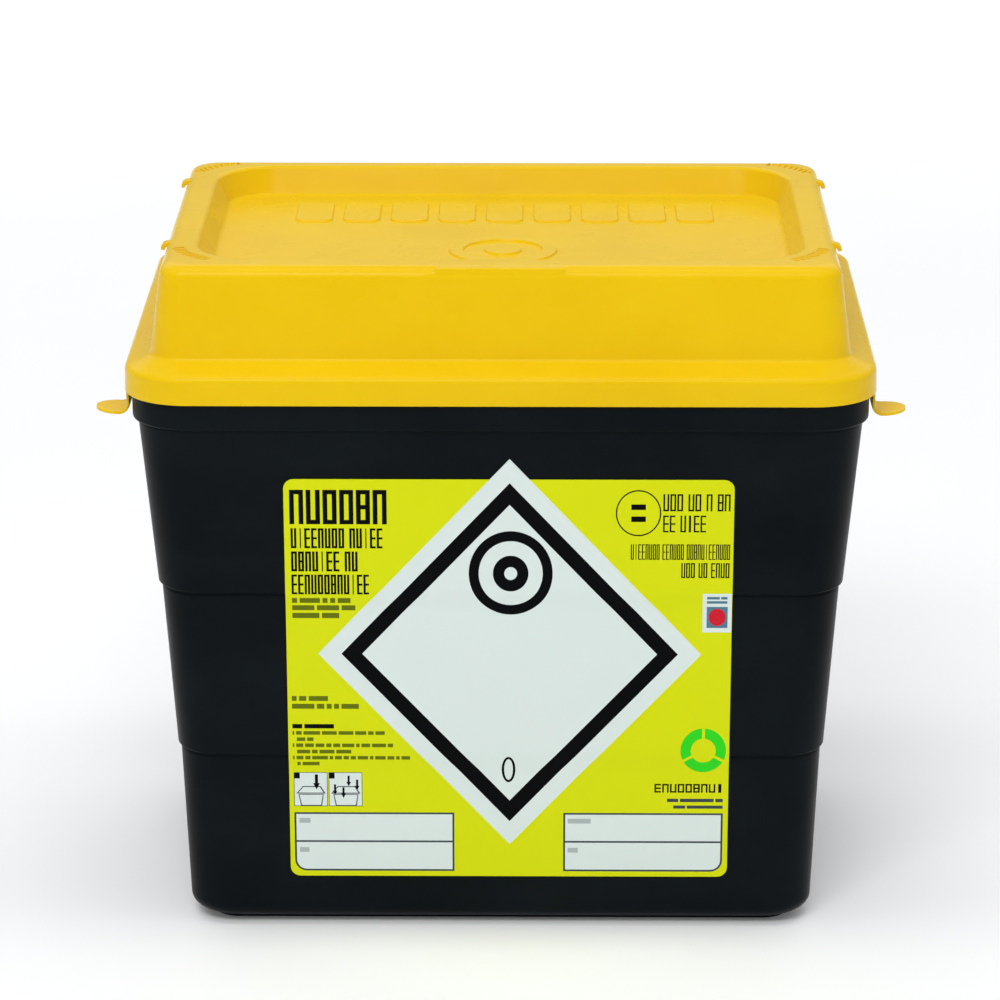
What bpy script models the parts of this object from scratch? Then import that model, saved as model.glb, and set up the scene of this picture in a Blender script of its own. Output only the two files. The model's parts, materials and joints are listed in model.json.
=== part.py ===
"""Nine-litre sharps container: a stepped tub, a hinged lid with two locate tabs and four corner
catches, a bail handle on the lid's rear ledge, and a label on the front wall.

Metres, +Z up, the front faces -Y. Profiles are lists of rings: (inset, height, corner radius),
where the inset is measured inwards from the outer edge of the lid's skirt.
"""

import math

import bmesh
import bpy
from mathutils import Vector

# Overall sizes
RIM_LENGTH = 0.2780          # lid skirt, left to right
RIM_DEPTH = 0.2000           # lid skirt, front to back
SKIRT_BOTTOM = 0.2130        # height of the skirt's lower edge
LID_TOP = 0.2618             # height of the lid's top rim
FLOOR_Z = 0.0020             # underside of the tub, above its foot ring
CORNER_SEGMENTS = 6

# Tub
TUB_WALL = 0.0020
BAND_INSET = 0.0025          # rim band, just inside the skirt
BAND_BOTTOM = 0.2024
RIM_TOP = 0.2216
STEP_2_Z = 0.1368
STEP_3_Z = 0.0705
EDGE_RADIUS = 0.0075         # bottom edge
FOOT_INSET = 0.0280
FOOT_WIDTH = 0.0045

# Lid
LID_WALL = 0.0016
SKIRT_CORNER = 0.0243
LEDGE_OUTER_Z = 0.2242       # the ledge rises inwards from its shoulder
LEDGE_INNER_Z = 0.2270
RAISED_INSET = 0.0101
RAISED_TOP_INSET = 0.0137
RAISED_CORNER = 0.0110
TOP_FILLET = 0.0048
DISH_INSET = 0.0255
DISH_DEPTH = 0.0110
DISH_CORNER = 0.0225
DISH_SLOPE = 0.0045          # how far the dish's wall leans in, top to foot
GRIP_LIP_LENGTH = 0.0470
GRIP_LIP_DROP = 0.0068
HOOKS_BEHIND = {"front": 0.0560, "rear": 0.1560}     # from the front of the skirt
HOOK_WIDTH = 0.0042
HOOK_REACH = 0.0034
HOOK_THICKNESS = 0.0011

# Lid hinge, on the rear of the rim band
HINGE_X = 0.0700
HINGE_BAR_RADIUS = 0.0020
HINGE_OFFSET = 0.0019        # bar axis behind the skirt's rear face
HINGE_DROP = 0.0042          # bar axis below the skirt
CLIP_LENGTH = 0.0140
CLIP_WALL = 0.0016
LUG_THICKNESS = 0.0030
LUG_RADIUS = 0.0036
RUNNING_GAP = 0.0003
SIDE_GAP = 0.0005

# Locate tabs, one on each short side
TAB_WIDTH = 0.0165
TAB_CENTRE = 0.0335          # behind the front of the skirt
TAB_DROP = 0.0095            # from the skirt to the finger plate's top
TAB_REACH = 0.0118           # beyond the skirt
TAB_THICKNESS = 0.0014
TAB_BEND = 0.0028
TAB_PLATE_RADIUS = 0.0082

# Corner catches, inside the short sides of the rim
CATCH_WIDTH = 0.0160
CATCH_THICKNESS = 0.0014
CATCH_X = 0.1310             # inner face
CATCH_Y = 0.0640             # from the rim's centre, front and rear
CATCH_TOP = 0.2238
CATCH_BOTTOM = 0.2080
CATCH_NOSE = 0.0014
NOSE_TOP = 0.0050            # heights above the catch's lower end
NOSE_FACE_TOP = 0.0036
NOSE_FACE_BOTTOM = 0.0028
BEAD_TOP = 0.2084            # ridge inside the rim, under each catch
BEAD_DEPTH = 0.0011
BEAD_HEIGHT = 0.0030

# Carry handle
HANDLE_PIVOT_X = 0.0862
HANDLE_PIVOT_Y = 0.0940      # from the rim's centre
HANDLE_PIVOT_Z = 0.2310
HANDLE_ARM = 0.0228
HANDLE_BEND = 0.0100
HANDLE_LEAN = math.radians(7.3)
ARM_WIDTH = 0.0066
ARM_THICKNESS = 0.0050
ARM_CHAMFER = 0.0014
GRIP_HEIGHT = 0.0066
GRIP_THICKNESS = 0.0066
GRIP_HALF_LENGTH = 0.0474
GRIP_TAPER = 0.0060
PIN_RADIUS = 0.0020
EAR_X = 0.0900
EAR_THICKNESS = 0.0030
EAR_RADIUS = 0.0043

# Label
LABEL_CENTRE_X = 0.0032
LABEL_WIDTH = 0.1664
LABEL_BOTTOM = 0.0210
LABEL_TOP = 0.1834
LABEL_PEAK = 0.1914          # the diamond's upper corner
LABEL_PEAK_X = 0.0035
LABEL_PEAK_SLOPE = 0.912     # half width of the peak per unit of height
LABEL_CORNER = 0.0038
LABEL_THICKNESS = 0.0003
FILM_BENDS = (0.0021, -0.0018, -0.0056)     # heights of the film's bends about each step
LABEL_GAP = 0.0003

# The rim's centre stands forward of the origin, so that the hinge counts in the object's depth
HINGE_REACH = HINGE_OFFSET + HINGE_BAR_RADIUS + RUNNING_GAP + CLIP_WALL
RIM_CENTRE_Y = -HINGE_REACH / 2.0

BLACK = ("black_plastic", (0.010, 0.012, 0.013), 0.38)
YELLOW = ("yellow_plastic", (0.83, 0.50, 0.008), 0.42)
LABEL = ("label_film", (0.62, 0.69, 0.007), 0.35)


def clear_scene():
    for existing in list(bpy.data.objects):
        bpy.data.objects.remove(existing, do_unlink=True)


def material(spec):
    name, colour, roughness = spec
    found = bpy.data.materials.get(name)
    if found:
        return found
    made = bpy.data.materials.new(name)
    made.use_nodes = True
    shader = made.node_tree.nodes["Principled BSDF"]
    shader.inputs["Base Color"].default_value = (*colour, 1.0)
    shader.inputs["Roughness"].default_value = roughness
    shader.inputs["Metallic"].default_value = 0.0
    return made


def add_object(name, mesh_builder, parent, location=(0.0, 0.0, 0.0), finish=None):
    bmesh.ops.recalc_face_normals(mesh_builder, faces=mesh_builder.faces)
    mesh = bpy.data.meshes.new(name)
    mesh_builder.to_mesh(mesh)
    mesh_builder.free()
    made = bpy.data.objects.new(name, mesh)
    bpy.context.scene.collection.objects.link(made)
    made.parent = parent
    made.location = location
    if finish:
        mesh.materials.append(material(finish))
        mesh.shade_smooth()
        mesh.set_sharp_from_angle(angle=math.radians(35.0))
    return made


def as_operand(made, target, operation):
    """Join an object to, or cut it from, the target with an exact Boolean."""
    made.hide_render = True
    made.display_type = "WIRE"
    modifier = target.modifiers.new(made.name, "BOOLEAN")
    modifier.operation = operation
    modifier.solver = "EXACT"
    modifier.object = made


def arc(centre, radius, start, end, steps):
    """Points on a circle in a plane, angles in degrees."""
    points = []
    for step in range(steps + 1):
        angle = math.radians(start + (end - start) * step / steps)
        points.append((centre[0] + radius * math.cos(angle), centre[1] + radius * math.sin(angle)))
    return points


def rounded_rectangle(inset, height, corner):
    half_x = RIM_LENGTH / 2.0 - inset
    half_y = RIM_DEPTH / 2.0 - inset
    points = []
    for turn, (sign_x, sign_y) in enumerate(((1, 1), (-1, 1), (-1, -1), (1, -1))):
        centre = (sign_x * (half_x - corner), sign_y * (half_y - corner))
        for x, y in arc(centre, corner, 90.0 * turn, 90.0 * (turn + 1), CORNER_SEGMENTS):
            points.append(Vector((x, y, height)))
    return points


def loft(sections):
    """A closed body through sections with equal point counts, capped at both ends."""
    builder = bmesh.new()
    loops = [[builder.verts.new(point) for point in section] for section in sections]
    count = len(loops[0])
    for lower, upper in zip(loops, loops[1:]):
        for index in range(count):
            following = (index + 1) % count
            builder.faces.new((lower[index], lower[following], upper[following], upper[index]))
    builder.faces.new(loops[0])
    builder.faces.new(loops[-1])
    return builder


def extrude_outline(outline, low, high):
    """A prism along X from an outline of (y, z) points."""
    return loft([[Vector((x, y, z)) for y, z in outline] for x in (low, high)])


def cylinder_x(radius, low, high, sides=24):
    return extrude_outline(arc((0.0, 0.0), radius, 0.0, 360.0, sides)[:-1], low, high)


def along(start, end, height):
    """The inset at a height on the straight wall between two (inset, height) points."""
    share = (height - start[1]) / (end[1] - start[1])
    return start[0] + (end[0] - start[0]) * share


# Outer faces of the tub's three stages, each as its top and bottom (inset, height)
STAGE_1 = ((0.0049, BAND_BOTTOM - 0.0004), (0.0104, STEP_2_Z + 0.0006))
STAGE_2 = ((0.0118, STEP_2_Z - 0.0006), (0.0160, STEP_3_Z + 0.0006))
STAGE_3 = ((0.0172, STEP_3_Z - 0.0006), (0.0197, FLOOR_Z + EDGE_RADIUS))
STAGE_CORNERS = (0.0180, 0.0170, 0.0160)


def tub_rings():
    foot_corner = 0.0100
    foot_inner = FOOT_INSET + FOOT_WIDTH
    draft = 0.0003
    edge = 0.0005
    rings = [
        (foot_inner + draft, FLOOR_Z, foot_corner - FOOT_WIDTH),
        (foot_inner, 0.0, foot_corner - FOOT_WIDTH),
        (FOOT_INSET + draft, 0.0, foot_corner),
        (FOOT_INSET, FLOOR_Z, foot_corner),
    ]
    edge_inset = STAGE_3[1][0]
    for across, up in arc((0.0, 0.0), EDGE_RADIUS, -90.0, 0.0, 5):
        inset = edge_inset + EDGE_RADIUS - across
        rings.append((inset, FLOOR_Z + EDGE_RADIUS + up, STAGE_CORNERS[2] - 0.001))
    for stage, corner in reversed(list(zip((STAGE_1, STAGE_2, STAGE_3), STAGE_CORNERS))):
        (top_inset, top_z), (low_inset, low_z) = stage
        if stage is not STAGE_3:
            rings.append((low_inset, low_z, corner))
        rings.append((top_inset, top_z, corner))
    band_corner = 0.0220
    inner_corner = band_corner - TUB_WALL
    inner_band = BAND_INSET + TUB_WALL
    rings += [
        (BAND_INSET + edge, BAND_BOTTOM, band_corner),
        (BAND_INSET, BAND_BOTTOM + edge, band_corner),
        (BAND_INSET, RIM_TOP - edge, band_corner),
        (BAND_INSET + edge, RIM_TOP, band_corner),
        (inner_band - edge, RIM_TOP, inner_corner),
        (inner_band, RIM_TOP - edge, inner_corner),
        (inner_band, BAND_BOTTOM + TUB_WALL, inner_corner),
    ]
    for stage, corner in zip((STAGE_1, STAGE_2, STAGE_3), STAGE_CORNERS):
        (top_inset, top_z), (low_inset, low_z) = stage
        inner_low = low_z if stage is STAGE_3 else low_z + TUB_WALL
        rings.append((top_inset + TUB_WALL, top_z + TUB_WALL * 0.6, corner - TUB_WALL))
        rings.append((low_inset + TUB_WALL, inner_low, corner - TUB_WALL))
    inner_radius = EDGE_RADIUS - TUB_WALL
    centre_inset = edge_inset + EDGE_RADIUS
    for across, up in arc((0.0, 0.0), inner_radius, -15.0, -90.0, 4):
        rings.append((centre_inset - across, FLOOR_Z + EDGE_RADIUS + up, STAGE_CORNERS[2] - 2.0 * TUB_WALL))
    return rings


def lid_outer_rings():
    shoulder = 0.0025
    rings = [(0.0, SKIRT_BOTTOM, SKIRT_CORNER)]
    centre = (0.0002 + shoulder, LEDGE_OUTER_Z - shoulder)
    for across, up in arc((0.0, 0.0), shoulder, 0.0, 68.0, 4):
        rings.append((centre[0] - across, centre[1] + up, SKIRT_CORNER - 0.0005))
    fillet = 0.0018
    rings.append((RAISED_INSET - fillet, LEDGE_INNER_Z, RAISED_CORNER + 0.0020))
    rings.append((RAISED_INSET - fillet * 0.4, LEDGE_INNER_Z + fillet * 0.45, RAISED_CORNER + 0.0008))
    rings.append((RAISED_INSET, LEDGE_INNER_Z + fillet, RAISED_CORNER))
    for across, up in arc((0.0, 0.0), TOP_FILLET, 6.0, 90.0, 5):
        inset = RAISED_TOP_INSET + TOP_FILLET - across
        rings.append((inset, LID_TOP - TOP_FILLET + up, RAISED_CORNER - 0.0030))
    edge = 0.0008
    dish_floor = LID_TOP - DISH_DEPTH
    rings += [
        (DISH_INSET - edge, LID_TOP, DISH_CORNER + edge),
        (DISH_INSET, LID_TOP - edge, DISH_CORNER),
    ]
    bottom_fillet = 0.0033
    for across, up in arc((0.0, 0.0), bottom_fillet, 200.0, 270.0, 4):
        inset = DISH_INSET + DISH_SLOPE + bottom_fillet + across
        rings.append((inset, dish_floor + bottom_fillet + up, DISH_CORNER - DISH_SLOPE))
    return rings


def dish_under_rings():
    """The underside of the dish's floor and wall, which follow the dish a wall's thickness below."""
    under = LID_TOP - DISH_DEPTH - LID_WALL
    foot = DISH_INSET + DISH_SLOPE
    corner = DISH_CORNER - DISH_SLOPE
    bend_low, bend_high = 0.0008, 0.0036
    return [
        (foot + 2.0 * LID_WALL, under, corner),
        (foot, under + bend_low, corner + bend_low),
        (foot - 0.75 * LID_WALL, under + bend_high, corner + LID_WALL),
        (DISH_INSET - 1.2 * LID_WALL, LID_TOP - LID_WALL, DISH_CORNER + LID_WALL),
    ]


def lid_inner_rings():
    """From the underside of the dish's floor, outwards and down to the skirt."""
    top_under = LID_TOP - LID_WALL
    top_corner = RAISED_CORNER - 0.0035
    skirt_corner = SKIRT_CORNER - LID_WALL
    bead_z = SKIRT_BOTTOM + 0.0012
    bead_depth = 0.0003
    return dish_under_rings() + [
        (RAISED_TOP_INSET + TOP_FILLET, top_under, top_corner),
        (RAISED_TOP_INSET + LID_WALL + 0.0009, top_under - 0.0012, top_corner),
        (RAISED_TOP_INSET + LID_WALL, top_under - 0.0034, top_corner),
        (RAISED_INSET + LID_WALL, LEDGE_INNER_Z + 0.0006, RAISED_CORNER - 0.0008),
        (RAISED_INSET - 0.0006, LEDGE_INNER_Z - LID_WALL, RAISED_CORNER + 0.0006),
        (2.0 * LID_WALL, LEDGE_OUTER_Z - LID_WALL, skirt_corner),
        (LID_WALL, LEDGE_OUTER_Z - 1.7 * LID_WALL, skirt_corner),
        (LID_WALL, bead_z + 0.0008, skirt_corner),
        (LID_WALL + bead_depth, bead_z, skirt_corner),
        (LID_WALL, SKIRT_BOTTOM, skirt_corner),
    ]


def ring_sections(rings):
    return [rounded_rectangle(*ring) for ring in rings]


def hinge_axis():
    return (RIM_DEPTH / 2.0 + HINGE_OFFSET, SKIRT_BOTTOM - HINGE_DROP)


def moved(outline, centre):
    return [(y + centre[0], z + centre[1]) for y, z in outline]


def lug_outline():
    root_y = -(BAND_INSET + HINGE_OFFSET + TUB_WALL / 2.0)
    gusset = 0.0016
    outline = arc((0.0, 0.0), LUG_RADIUS, 90.0, -90.0, 10)
    return outline + [(root_y, -LUG_RADIUS - gusset), (root_y, LUG_RADIUS)]


def clip_outline():
    """A C that wraps the hinge bar and runs up into the skirt's rear wall."""
    inner = HINGE_BAR_RADIUS + RUNNING_GAP
    outer = inner + CLIP_WALL
    wall_front = -HINGE_OFFSET - 0.0013
    wall_back = -HINGE_OFFSET - 0.0005
    root_top, root_foot = 0.0080, 0.0040
    mouth_start, mouth_end = 165.0, -40.0
    outline = arc((0.0, 0.0), outer, mouth_end, 75.0, 8)
    outline += [(wall_back, root_top), (wall_front, root_top), (wall_front, root_foot)]
    outline += arc((0.0, 0.0), outer, 142.0, mouth_start, 2)
    outline += arc((0.0, 0.0), inner, mouth_start, mouth_end, 14)
    return outline


def catch_bead(sign, centre_y):
    """A ridge inside the rim, just below a catch's nose, that the nose passes on final closing."""
    face = RIM_LENGTH / 2.0 - BAND_INSET - TUB_WALL
    top = BEAD_TOP + 0.0004
    outline = [
        (face + BEAD_DEPTH / 2.0, top),
        (face - BEAD_DEPTH, top - BEAD_HEIGHT * 0.4),
        (face - BEAD_DEPTH, top - BEAD_HEIGHT * 0.67),
        (face + BEAD_DEPTH / 2.0, top - BEAD_HEIGHT),
    ]
    half = CATCH_WIDTH / 2.0 + 0.001
    ends = (centre_y - half, centre_y + half)
    return loft([[Vector((sign * x, y, z)) for x, z in outline] for y in ends])


def build_tub(parent):
    tub = add_object("base_tub", loft(ring_sections(tub_rings())), parent, finish=BLACK)
    axis = hinge_axis()
    lug_inner = CLIP_LENGTH / 2.0 + SIDE_GAP
    for side, sign in (("left", -1), ("right", 1)):
        centre_x = sign * HINGE_X
        for edge in (-1, 1):
            low, high = sorted((edge * lug_inner, edge * (lug_inner + LUG_THICKNESS)))
            outline = moved(lug_outline(), axis)
            lug = extrude_outline(outline, centre_x + low, centre_x + high)
            as_operand(add_object(f"hinge_lug_{side}_{edge + 1}", lug, parent), tub, "UNION")
        reach = lug_inner + LUG_THICKNESS / 2.0
        bar = cylinder_x(HINGE_BAR_RADIUS, centre_x - reach, centre_x + reach)
        as_operand(add_object(f"hinge_bar_{side}", bar, parent, (0.0, *axis)), tub, "UNION")
        for where, bead_y in (("front", -CATCH_Y), ("rear", CATCH_Y)):
            bead = catch_bead(sign, bead_y)
            as_operand(add_object(f"catch_bead_{where}_{side}", bead, parent), tub, "UNION")
    return tub


def ear_outline():
    """A round-topped plate whose foot lies inside the thickness of the rear ledge."""
    pivot = (HANDLE_PIVOT_Y, HANDLE_PIVOT_Z)
    outline = arc(pivot, EAR_RADIUS, 0.0, 180.0, 10)
    inner_y, outer_y = HANDLE_PIVOT_Y - EAR_RADIUS, HANDLE_PIVOT_Y + EAR_RADIUS
    sunk = LID_WALL / 2.0
    outline += [(inner_y, LEDGE_INNER_Z), (inner_y + LID_WALL, LEDGE_INNER_Z - sunk)]
    return outline + [(outer_y, LEDGE_OUTER_Z - sunk)]


def hook_outline():
    """A small claw seen along Y: (outwards, up) from the top edge of the raised part."""
    root, tip = -0.0030, -0.0028
    return [
        (root, 0.0),
        (HOOK_REACH - HOOK_THICKNESS, 0.0),
        (HOOK_REACH, -0.0014),
        (HOOK_REACH, tip),
        (HOOK_REACH - HOOK_THICKNESS * 0.8, tip),
        (HOOK_REACH - HOOK_THICKNESS, -0.0018),
        (HOOK_REACH - 0.0018, -HOOK_THICKNESS),
        (root, -HOOK_THICKNESS),
    ]


def hook(sign, behind):
    edge_x = RIM_LENGTH / 2.0 - RAISED_TOP_INSET
    top_z = LID_TOP - 0.0014
    centre_y = -RIM_DEPTH / 2.0 + behind
    sections = []
    for y in (centre_y - HOOK_WIDTH / 2.0, centre_y + HOOK_WIDTH / 2.0):
        places = [(sign * (edge_x + out), top_z + up) for out, up in hook_outline()]
        sections.append([Vector((x, y, z)) for x, z in places])
    return loft(sections)


def grip_lip():
    """Fills the front top edge's fillet out to a crisp corner."""
    front = -RIM_DEPTH / 2.0 + RAISED_TOP_INSET
    proud, sunk = 0.0002, 0.0013
    foot_z = LID_TOP - GRIP_LIP_DROP
    rear = front + TOP_FILLET + 0.0010
    outline = [
        (front - proud, foot_z),
        (front + 0.0004, LID_TOP - 0.0007),
        (front + 0.0011, LID_TOP - proud),
        (rear, LID_TOP - proud),
        (rear, LID_TOP - sunk),
        (front + sunk, foot_z),
    ]
    return extrude_outline(outline, -GRIP_LIP_LENGTH / 2.0, GRIP_LIP_LENGTH / 2.0)


def build_lid(parent, pivot):
    shift = (0.0, -pivot[1], -pivot[2])
    rings = lid_inner_rings() + lid_outer_rings()
    lid = add_object("lid_shell", loft(ring_sections(rings)), parent, shift, YELLOW)
    axis = hinge_axis()
    for side, sign in (("left", -1), ("right", 1)):
        low = sign * HINGE_X - CLIP_LENGTH / 2.0
        clip = extrude_outline(moved(clip_outline(), axis), low, low + CLIP_LENGTH)
        as_operand(add_object(f"hinge_clip_{side}", clip, parent, shift), lid, "UNION")
        ear_low, ear_high = sorted((sign * EAR_X, sign * (EAR_X + EAR_THICKNESS)))
        ear = extrude_outline(ear_outline(), ear_low, ear_high)
        as_operand(add_object(f"handle_ear_{side}", ear, parent, shift), lid, "UNION")
        hole = cylinder_x(PIN_RADIUS + RUNNING_GAP, ear_low - EAR_THICKNESS, ear_high + EAR_THICKNESS)
        place = (0.0, shift[1] + HANDLE_PIVOT_Y, shift[2] + HANDLE_PIVOT_Z)
        as_operand(add_object(f"ear_hole_{side}", hole, parent, place), lid, "DIFFERENCE")
        for where, behind in HOOKS_BEHIND.items():
            claw = add_object(f"hook_{where}_{side}", hook(sign, behind), parent, shift)
            as_operand(claw, lid, "UNION")
    as_operand(add_object("grip_lip", grip_lip(), parent, shift), lid, "UNION")
    return lid


def strip_sections(stations):
    """Rectangles along a strip that is seen along Y.

    Each station is (out, up, out normal, up normal, half width, half thickness).
    """
    sections = []
    for out, up, normal_out, normal_up, half_width, half_thick in stations:
        corners = []
        for side, across in ((1, 1), (1, -1), (-1, -1), (-1, 1)):
            x = out + side * normal_out * half_thick
            z = up + side * normal_up * half_thick
            corners.append(Vector((x, across * half_width, z)))
        sections.append(corners)
    return sections


def build_tab(name, sign, parent):
    """A strap below the skirt that bends outwards into a round finger plate."""
    half = TAB_THICKNESS / 2.0
    top = (-half, -RUNNING_GAP)
    bend = TAB_BEND + half
    plate_z = -TAB_DROP - half
    stations = [(top[0], top[1], 1.0, 0.0, TAB_WIDTH / 2.0, half)]
    for step in range(6):
        angle = math.radians(90.0 * step / 5)
        out = top[0] + bend * (1.0 - math.cos(angle))
        up = plate_z + bend * (1.0 - math.sin(angle))
        stations.append((out, up, math.cos(angle), math.sin(angle), TAB_WIDTH / 2.0, half))
    plate_centre = TAB_REACH - TAB_PLATE_RADIUS
    for step in range(1, 9):
        angle = math.radians(88.0 * step / 8)
        out = plate_centre + TAB_PLATE_RADIUS * math.sin(angle)
        width = TAB_PLATE_RADIUS * math.cos(angle)
        stations.append((out, plate_z, 0.0, 1.0, width, half))
    sections = []
    for section in strip_sections(stations):
        sections.append([Vector((sign * point.x, point.y, point.z)) for point in section])
    return add_object(name, loft(sections), parent, finish=YELLOW)


def build_catch(name, sign, parent):
    """A tongue that hangs inside the rim, with a nose towards the tub's wall."""
    drop = CATCH_BOTTOM - CATCH_TOP
    outline = [
        (0.0, 0.0),
        (CATCH_THICKNESS, 0.0),
        (CATCH_THICKNESS, drop + NOSE_TOP),
        (CATCH_THICKNESS + CATCH_NOSE, drop + NOSE_FACE_TOP),
        (CATCH_THICKNESS + CATCH_NOSE, drop + NOSE_FACE_BOTTOM),
        (CATCH_THICKNESS, drop),
        (0.0, drop),
    ]
    sections = []
    for y in (-CATCH_WIDTH / 2.0, CATCH_WIDTH / 2.0):
        sections.append([Vector((sign * out, y, up)) for out, up in outline])
    return add_object(name, loft(sections), parent, finish=YELLOW)


def handle_stations():
    """Half of the bail's centre line, from an arm's lower end to the middle: (x, z, direction)."""
    arm_end = -0.0030
    stations = [(HANDLE_PIVOT_X, arm_end, 90.0), (HANDLE_PIVOT_X, 0.0, 90.0)]
    centre = (HANDLE_PIVOT_X - HANDLE_BEND, HANDLE_ARM - HANDLE_BEND)
    for step in range(6):
        angle = 90.0 * step / 5
        x, z = arc(centre, HANDLE_BEND, angle, angle, 1)[0]
        stations.append((x, z, 90.0 + angle))
    for x in (GRIP_HALF_LENGTH + GRIP_TAPER, GRIP_HALF_LENGTH, 0.0):
        stations.append((x, HANDLE_ARM, 180.0))
    return stations


def chamfered_rectangle(half_width, half_height, chamfer):
    outline = []
    for side, end in ((1, 1), (-1, 1), (-1, -1), (1, -1)):
        first = (side * half_width, end * (half_height - chamfer))
        second = (side * (half_width - chamfer), end * half_height)
        outline += [first, second] if side == end else [second, first]
    return outline


def build_handle(parent):
    half = handle_stations()
    mirrored = [(-x, z, 360.0 - direction) for x, z, direction in reversed(half[:-1])]
    sections = []
    for x, z, direction in half + mirrored:
        on_grip = abs(x) <= GRIP_HALF_LENGTH
        width = (GRIP_HEIGHT if on_grip else ARM_WIDTH) / 2.0
        thick = (GRIP_THICKNESS if on_grip else ARM_THICKNESS) / 2.0
        turn = math.radians(direction)
        normal = Vector((math.sin(turn), 0.0, -math.cos(turn)))
        section = []
        for across, deep in chamfered_rectangle(width, thick, ARM_CHAMFER):
            section.append(Vector((x, deep, z)) + normal * across)
        sections.append(section)
    handle = add_object("carry_handle", loft(sections), parent, finish=YELLOW)
    pin_end = EAR_X + EAR_THICKNESS - 0.0003
    for side, sign in (("left", -1), ("right", 1)):
        low, high = sorted((sign * HANDLE_PIVOT_X, sign * pin_end))
        pin = cylinder_x(PIN_RADIUS, low, high)
        as_operand(add_object(f"handle_pin_{side}", pin, parent), handle, "UNION")
    return handle


def wall_inset(height):
    """Inset of the tub's outer face, blended across each step as a sheet laid over it would be."""
    blend = 0.0050
    for (upper, lower) in ((STAGE_1, STAGE_2), (STAGE_2, STAGE_3)):
        high_z, low_z = upper[1][1] + blend * 0.3, lower[0][1] - blend
        if low_z <= height <= high_z:
            top = along(*upper, high_z)
            bottom = along(*lower, low_z)
            return bottom + (top - bottom) * (height - low_z) / (high_z - low_z)
    if height > STEP_2_Z:
        return along(*STAGE_1, height)
    if height > STEP_3_Z:
        return along(*STAGE_2, height)
    return along(*STAGE_3, height)


def label_spans():
    """Left and right edges of the label at each height where its outline or the wall bends."""
    half = LABEL_WIDTH / 2.0
    heights = []
    for start in (LABEL_BOTTOM, LABEL_TOP - LABEL_CORNER):
        heights += [start + LABEL_CORNER * step / 4 for step in range(5)]
    for step_z in (STEP_2_Z, STEP_3_Z):
        heights += [step_z + offset for offset in FILM_BENDS]
    spans = []
    for height in sorted(heights):
        edge = min(height - LABEL_BOTTOM, LABEL_TOP - height)
        cut = 0.0
        if edge < LABEL_CORNER:
            cut = LABEL_CORNER - math.sqrt(max(0.0, LABEL_CORNER ** 2 - (LABEL_CORNER - edge) ** 2))
        spans.append((height, LABEL_CENTRE_X - half + cut, LABEL_CENTRE_X + half - cut))
    return spans


def label_section(height, low, high):
    back = -(RIM_DEPTH / 2.0 - wall_inset(height)) - LABEL_GAP
    front = back - LABEL_THICKNESS
    corners = ((low, front), (high, front), (high, back), (low, back))
    return [Vector((x, y, height)) for x, y in corners]


def build_label(parent):
    """A thin sheet a hair in front of the wall, with the diamond's corner above its top edge."""
    sections = [label_section(*span) for span in label_spans()]
    label = add_object("front_label", loft(sections), parent, finish=LABEL)
    sections = []
    for height in (LABEL_TOP - 0.0030, LABEL_PEAK - 0.0003):
        reach = (LABEL_PEAK - height) * LABEL_PEAK_SLOPE
        sections.append(label_section(height, LABEL_PEAK_X - reach, LABEL_PEAK_X + reach))
    as_operand(add_object("label_peak", loft(sections), parent), label, "UNION")
    return label


def empty(name, location, parent=None):
    made = bpy.data.objects.new(name, None)
    bpy.context.scene.collection.objects.link(made)
    made.location = location
    made.parent = parent
    return made


def main():
    clear_scene()
    rim = empty("rim_centre", (0.0, RIM_CENTRE_Y, 0.0))
    build_tub(rim)
    build_label(rim)

    pivot = (0.0, *hinge_axis())
    lid_pivot = empty("lid_hinge", pivot, rim)
    build_lid(lid_pivot, pivot)

    for side, sign in (("left", -1), ("right", 1)):
        place = (sign * RIM_LENGTH / 2.0, -RIM_DEPTH / 2.0 + TAB_CENTRE - pivot[1], SKIRT_BOTTOM - pivot[2])
        tab_pivot = empty(f"tab_pivot_{side}", place, lid_pivot)
        build_tab(f"locate_tab_{side}", sign, tab_pivot)
        for where, catch_y in (("front", -CATCH_Y), ("rear", CATCH_Y)):
            place = (sign * CATCH_X, catch_y - pivot[1], CATCH_TOP - pivot[2])
            catch_pivot = empty(f"catch_pivot_{where}_{side}", place, lid_pivot)
            build_catch(f"corner_catch_{where}_{side}", sign, catch_pivot)

    place = (0.0, HANDLE_PIVOT_Y - pivot[1], HANDLE_PIVOT_Z - pivot[2])
    handle_pivot = empty("handle_pivot", place, lid_pivot)
    handle_pivot.rotation_euler = (HANDLE_LEAN, 0.0, 0.0)
    build_handle(handle_pivot)


main()
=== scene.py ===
"""Looks of a nine-litre sharps container: finely filleted shells for the tub, the lid and its small
parts, a printed label film, procedural plastics, a pale studio and the camera.

Shapes are worked out in millimetres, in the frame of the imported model, and become metres in
`new_mesh`. A shell is a stack of rings, each (inset, height, plan corner radius), where the inset is
measured inwards from the outer edge of the lid's skirt.
"""

import json
import math

import bmesh
import bpy
from mathutils import Matrix, Vector
from mathutils.geometry import delaunay_2d_cdt


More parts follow.
